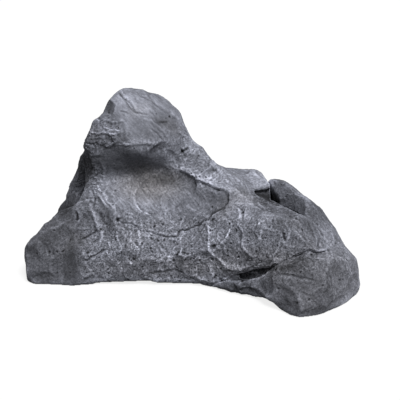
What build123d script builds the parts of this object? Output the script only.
from build123d import *
import os
import numpy as np
from scipy.spatial import ConvexHull, HalfspaceIntersection

# Resin cave ornament: a hollow, open-bottomed artificial rock made of five
# resin castings bonded along three filled joints.
# Frame: +Z up, Z=0 on the resting plane, X along the length, Y to the rear.

# ---------------------------------------------------------------- dimensions (mm)
WALL = 7.0            # resin wall of every casting
GLUE = 2.0            # gap between the body and the two right-hand stones
SQUEEZE = 2.0         # height of the squeezed-out filler on the inner wall
SQUEEZE_REACH = 4.0   # how far that filler spreads to either side of a seam

LEFT_SEAM = (-111.75, -103.25)   # X of the joint between left end and body
REAR_SEAM = (43.0, 46.0)         # Y of the joint between front and rear castings

SCOOP_CENTRE = (-27.75, -111.0, 131.0)   # sphere that hollows the front shelf
SCOOP_R = 131.0

# rear cave mouth: an arch, straight-sided up to the height MOUTH_SIDE
MOUTH_X = -12.75
MOUTH_W = 76.0
MOUTH_SIDE = 16.0
MOUTH_DEPTH = 60.0

# side passage from the undercut tunnel into the hollow
PORT_START = (47.25, -7, 13)
PORT_DIRECTION = (-0.8, 0.6, 0)
PORT_LENGTH = 34.0
PORT_R = 10.0

# upright air vent on the saddle
VENT_XY = (28.25, 35.0)
VENT_R = 1.6
VENT_BASE = 50.0
VENT_HEIGHT = 60.0

FLOOR_CUT_Z = -5.0    # hollows and the mouth run down to here, to open at the ground
CORNER_GRID = 0.25    # corners of moved masses are rounded to this
BIG = 400.0           # reaches past the whole rock

# ------------------------------- (X, Y, Z) corner points of the convex rock masses
SKIRT = [
    (-111, -20, 0), (-102.75, 57, 0), (-58.75, 83, 0), (27.5, -23, 0), (41.25, -3, 0),
    (61.25, 85, 0), (71.25, 71, 0), (27.25, -26, 12), (-106.5, -17, 32), (27, -29, 46.5),
    (65.25, 27, 60), (69.25, 73, 66), (-101.5, -1, 66.5), (-90.75, 57, 72), (41.25, 81, 74),
    (-28.75, 77, 76), (33, -12, 78), (-90.5, 11, 85.5), (55.5, 40, 87), (4.25, 29, 98.5),
    (16.25, 39, 99)]
BULGE = [
    (29, -28, 11), (42.5, -37, 21.5), (11.25, -15, 24), (21, -26, 28), (60.5, -48, 32),
    (74.5, -53, 34), (89.25, 37, 34), (97.25, -3, 34), (11.25, 57, 40), (87.5, -55, 42.5),
    (87.25, 57, 46), (50.25, -43, 47.5), (27, -28, 48), (103.5, -53, 49), (106.25, -49, 54.5),
    (100, -33, 64.5), (79.5, -43, 65), (50.5, -36, 66), (69.25, 73, 66), (41.25, 81, 74),
    (33, -12, 78), (64.75, 39, 84), (59.25, 41, 86.5), (37.25, 41, 88)]
PEAK = [
    (-88.75, 21, 58), (-58.75, 81, 60), (1.25, 47, 60), (-90.75, 63, 70), (9.25, 79, 76),
    (-4.75, 27, 86), (-90.5, 13, 94), (-93.75, 19, 98), (10.75, 39, 107.5), (-82.75, 57, 108),
    (-18.75, 75, 108), (-86.5, 6, 109.5), (-49.25, -1, 110), (-35.5, 1, 111), (-68.5, 0, 111.5),
    (-26, 5, 111.5), (-91, 9, 116), (-46.75, -7, 125), (-33.25, -4, 125), (-66, -4, 126),
    (-83.75, 5, 129.5), (-87.5, 7, 131), (-48.75, 71, 136), (-84.25, 13, 139.5),
    (-16.75, 21, 141.5), (-12.5, 37, 142.5), (-35.75, 19, 149), (-25, 41, 152.5),
    (-44.75, 61, 154), (-71, 27, 156.5), (-69, 23, 157), (-40.25, 43, 159.5), (-61, 35, 165),
    (-53.25, 39, 165)]
RIDGE = [
    (45.25, 19, 40), (-2.75, 37, 50), (1.25, 57, 50), (1.25, 63, 70), (41.25, 67, 70),
    (-18.75, 57, 80), (18.5, 0.5, 81), (43.25, 5, 84), (32.5, 3, 84.5), (37.25, 41, 88),
    (-23.25, 19, 97), (-22.25, 18, 104), (4.25, 41, 111), (-3, 37, 116), (-14.25, 25, 120)]
LEFT = [
    (-146.75, 17, 0), (-145.25, -12.5, 0), (-136, -19, 0), (-126.75, 45, 0), (-100.5, -20, 0),
    (-90.75, 63, 0), (-142.75, -17, 12.5), (-144.75, 15, 24), (-147.75, -11, 27.5),
    (-95.75, -17, 32), (-115, -18, 32.5), (-120.75, 37, 40), (-138.75, -9, 42),
    (-129.75, -1, 50), (-120.25, 9, 57), (-90.75, 47, 58), (-97.5, -7, 60), (-103.75, 1, 63.5)]
FLANK = [
    (-126.75, 41, 0), (-126.75, 47, 0), (-104.75, 69, 0), (-68.75, 83, 0), (-38.75, 37, 0),
    (-38.75, 81, 0), (-130.25, 47, 37.5), (-122.75, 41, 40), (-124.25, 49, 47.5),
    (-117.75, 51, 58), (-42.75, 79, 66), (-82.75, 71, 74), (-105.75, 53, 84), (-38.75, 41, 84),
    (-102.75, 51, 95.5), (-96.75, 41, 98), (-58.75, 41, 100), (-96.75, 49, 102.5)]
SLAB = [
    (87.25, 63, 0), (121.25, -23, 0), (129.25, 45, 0), (143.25, 13, 0), (139.25, 7, 24),
    (131.25, 33, 26), (117.75, -51, 35.5), (132.25, -25, 38), (75.25, 53, 40), (121.25, 43, 40),
    (109, -49, 49), (125, -9, 50.5), (105.25, 51, 58), (72.5, 23, 60.5), (115.5, 3, 62.5),
    (85.25, 53, 70), (108.5, -17, 70.5), (98.5, -9, 76), (72.5, 31, 81.5), (84, 27, 81.5),
    (84.5, 14, 83.5)]
LOBE = [
    (57.25, -44.5, 0), (82, -76, 0), (85.25, -13, 0), (90.75, -82.5, 0), (105, -79.5, 0),
    (119.75, -67.5, 0), (131.5, -56, 0), (143.25, 5, 0), (146.25, -33.5, 0), (147.75, -31, 5.5),
    (90, -85, 9), (104, -84, 13), (135.5, -53, 15), (82, -79, 17), (145.75, -27, 19),
    (62.25, -55, 19.5), (68.25, -63, 21.5), (85.25, -23, 25), (142.75, -23, 27),
    (137.25, 5, 28), (78.25, -68, 35.5), (130.25, -53, 36), (133.5, -23, 37.5),
    (98.5, -72, 41), (115.75, -63, 44.5), (121.25, -3, 46)]
SILL = [
    (11.25, -3, 0), (13.25, -21, 0), (42.75, -37.5, 0), (68, -51.5, 0), (91.25, -53, 0),
    (91.25, -23, 0), (21.25, -3, 12), (46.75, -40, 14.5), (67.25, -54, 18), (91.25, -23, 18)]
# room cut out of the body's upper right: a cleft, and the pocket at its inner end
CLEFT = [
    (106.25, 43, 40.5), (74, 43, 57.5), (109, 43, 63), (93.75, -63, 81), (72.5, 43, 81.5),
    (65.5, -63, 96), (96.25, -63, 100.5), (64.25, -63, 117)]
POCKET = [
    (74.25, 1, 69.5), (77, 13, 69.5), (68.25, 3, 71.5), (70.5, 21, 76), (57.5, 3, 76.5),
    (55.75, 7, 78.5), (75.75, -33, 82), (60.25, -33, 88), (58.5, -33, 93.5), (75.25, -33, 93.5)]

# ---------------------------------------------------------------- seam planes
# YZ planes face +X, so TOP keeps the right; XZ planes face -Y, so TOP keeps the front
LEFT_END_CUT = Plane.YZ.offset(LEFT_SEAM[0])
BODY_CUT = Plane.YZ.offset(LEFT_SEAM[1])
FRONT_CUT = Plane.XZ.offset(-REAR_SEAM[0])
REAR_CUT = Plane.XZ.offset(-REAR_SEAM[1])


# ---------------------------------------------------------------- helpers
def moved(points, distance):
    """Corners of the convex mass with every face moved out by distance (in if negative).
    A face on the ground always goes to FLOOR_CUT_Z, so hollows stay open underneath."""
    points = np.array(points, float)
    planes = ConvexHull(points).equations
    planes = np.unique(np.round(planes, 6), axis=0)
    ground = (planes[:, 2] < -0.999) & (np.abs(planes[:, 3]) < 0.01)
    planes[:, 3] -= distance
    planes[ground, 3] = FLOOR_CUT_Z
    corners = HalfspaceIntersection(planes, points.mean(0)).intersections
    corners = np.unique(np.round(corners / CORNER_GRID) * CORNER_GRID, axis=0)
    corners = corners[ConvexHull(corners).vertices]
    return [tuple(float(v) for v in corner) for corner in corners]


def masses(*tables, move=None, mode=Mode.ADD):
    """Put convex masses into the open BuildPart, one by one; move shifts their faces."""
    for points in tables:
        ConvexPolyhedron(points if move is None else moved(points, move), mode=mode)


def cut_scoop(grow=0.0):
    """Cut the front scoop, its radius enlarged by grow, from the open BuildPart."""
    with Locations(SCOOP_CENTRE):
        Sphere(SCOOP_R + grow, mode=Mode.SUBTRACT)


def trim_squeeze(centre, x_size, y_size):
    """Trim the open BuildPart to a box above ground and take out the body core,
    which leaves a skin of filler SQUEEZE high on the inner wall."""
    with Locations(centre):
        Box(x_size, y_size, BIG, mode=Mode.INTERSECT)
    with Locations((0, 0, -BIG / 2)):
        Box(BIG, BIG, BIG, mode=Mode.SUBTRACT)
    add(body_core, mode=Mode.SUBTRACT)


# ---------------------------------------------------------------- shared forms
def make_body_hollow(inset):
    """Inside of the body, left end and flank, at a depth of inset below the surface."""
    with BuildPart() as hollow:
        masses(SKIRT, BULGE, move=-inset)
        cut_scoop(inset)
        masses(RIDGE, PEAK, LEFT, FLANK, move=-inset)
        masses(CLEFT, POCKET, move=inset, mode=Mode.SUBTRACT)
    return hollow.part


def make_body_form():
    """Outer form of the body, solid."""
    with BuildPart() as form:
        masses(SKIRT, BULGE)
        cut_scoop()
        masses(RIDGE, PEAK)
        masses(CLEFT, POCKET, mode=Mode.SUBTRACT)
    return form.part


def make_body_bed():
    """The body's right flank and cleft, grown by the adhesive gap."""
    with BuildPart() as bed:
        masses(SKIRT, BULGE, move=GLUE)
        masses(CLEFT, move=-GLUE, mode=Mode.SUBTRACT)
        masses(POCKET, mode=Mode.SUBTRACT)
    return bed.part


body_hollow = make_body_hollow(WALL)
body_core = make_body_hollow(WALL + SQUEEZE)
body_form = make_body_form()
body_bed = make_body_bed()


# ---------------------------------------------------------------- castings
def front_shell():
    """Front of the body, with the side passage and the air vent."""
    with BuildPart() as shell:
        add(body_form)
        split(bisect_by=BODY_CUT, keep=Keep.TOP)
        split(bisect_by=FRONT_CUT, keep=Keep.TOP)
        add(body_hollow, mode=Mode.SUBTRACT)
        with BuildSketch(Plane(origin=PORT_START, z_dir=PORT_DIRECTION)):
            Circle(PORT_R)
        extrude(amount=PORT_LENGTH, mode=Mode.SUBTRACT)
        with BuildSketch(Plane.XY.offset(VENT_BASE)):
            with Locations(VENT_XY):
                Circle(VENT_R)
        extrude(amount=VENT_HEIGHT, mode=Mode.SUBTRACT)
    return shell.part


def rear_shell():
    """Rear of the body and the left rear flank, with the cave mouth."""
    mouth_left = MOUTH_X - MOUTH_W / 2
    mouth_right = MOUTH_X + MOUTH_W / 2
    mouth_top = MOUTH_SIDE + MOUTH_W / 2
    with BuildPart() as shell:
        add(body_form)
        masses(FLANK)
        split(bisect_by=REAR_CUT, keep=Keep.BOTTOM)
        add(body_hollow, mode=Mode.SUBTRACT)
        with BuildSketch(REAR_CUT):
            with BuildLine():
                sill = Line((mouth_left, FLOOR_CUT_Z), (mouth_right, FLOOR_CUT_Z))
                side = Line(sill @ 1, (mouth_right, MOUTH_SIDE))
                arch = ThreePointArc(side @ 1, (MOUTH_X, mouth_top), (mouth_left, MOUTH_SIDE))
                Line(arch @ 1, sill @ 0)
            make_face()
        extrude(amount=-MOUTH_DEPTH, mode=Mode.SUBTRACT)
    return shell.part


def left_end_shell():
    with BuildPart() as shell:
        masses(LEFT)
        split(bisect_by=LEFT_END_CUT, keep=Keep.BOTTOM)
        split(bisect_by=FRONT_CUT, keep=Keep.TOP)
        add(body_hollow, mode=Mode.SUBTRACT)
    return shell.part


def right_slab_shell():
    with BuildPart() as hollow:
        masses(SLAB, move=-WALL)
        masses(SKIRT, BULGE, move=GLUE + WALL, mode=Mode.SUBTRACT)
    with BuildPart() as shell:
        masses(SLAB)
        add(body_bed, mode=Mode.SUBTRACT)
        add(hollow.part, mode=Mode.SUBTRACT)
    return shell.part


def right_boulder_shell():
    """Boulder in front of the slab, with its low sill reaching left."""
    with BuildPart() as hollow:
        masses(LOBE, move=-WALL)
        masses(SLAB, move=WALL, mode=Mode.SUBTRACT)
        masses(SKIRT, BULGE, move=GLUE + WALL, mode=Mode.SUBTRACT)
    with BuildPart() as shell:
        masses(LOBE, SILL)
        masses(SLAB, mode=Mode.SUBTRACT)
        add(body_bed, mode=Mode.SUBTRACT)
        add(hollow.part, mode=Mode.SUBTRACT)
    return shell.part


# ---------------------------------------------------------------- seam fillers
def left_seam_filler():
    """Joint between left end and front shell; its squeeze stops short of the rear one."""
    width = LEFT_SEAM[1] - LEFT_SEAM[0] + 2 * SQUEEZE_REACH
    centre = (sum(LEFT_SEAM) / 2, REAR_SEAM[0] - SQUEEZE_REACH - BIG / 2, 0)
    with BuildPart() as squeeze:
        masses(LEFT, move=-WALL)
        trim_squeeze(centre, width, BIG)
    with BuildPart() as filler:
        masses(SKIRT, LEFT)
        cut_scoop()
        split(bisect_by=LEFT_END_CUT, keep=Keep.TOP)
        split(bisect_by=BODY_CUT, keep=Keep.BOTTOM)
        split(bisect_by=FRONT_CUT, keep=Keep.TOP)
        add(body_hollow, mode=Mode.SUBTRACT)
        add(squeeze.part)
    return filler.part


def rear_seam_filler():
    """Joint in front of the rear shell, along the whole length."""
    width = REAR_SEAM[1] - REAR_SEAM[0] + 2 * SQUEEZE_REACH
    with BuildPart() as squeeze:
        add(body_hollow)
        trim_squeeze((0, sum(REAR_SEAM) / 2, 0), BIG, width)
    with BuildPart() as filler:
        add(body_form)
        masses(LEFT, FLANK)
        split(bisect_by=FRONT_CUT, keep=Keep.BOTTOM)
        split(bisect_by=REAR_CUT, keep=Keep.TOP)
        add(body_hollow, mode=Mode.SUBTRACT)
        add(squeeze.part)
    return filler.part


def right_seam_filler():
    """Adhesive bed between the body and the slab."""
    with BuildPart() as filler:
        add(body_bed)
        add(body_form, mode=Mode.SUBTRACT)
        masses(SLAB, mode=Mode.INTERSECT)
    return filler.part


# ---------------------------------------------------------------- export
os.makedirs("parts", exist_ok=True)
for make_piece in (front_shell, rear_shell, left_end_shell, right_slab_shell,
                   right_boulder_shell, left_seam_filler, rear_seam_filler,
                   right_seam_filler):
    piece = make_piece()
    piece.label = make_piece.__name__
    export_step(piece, f"parts/{piece.label}.step")
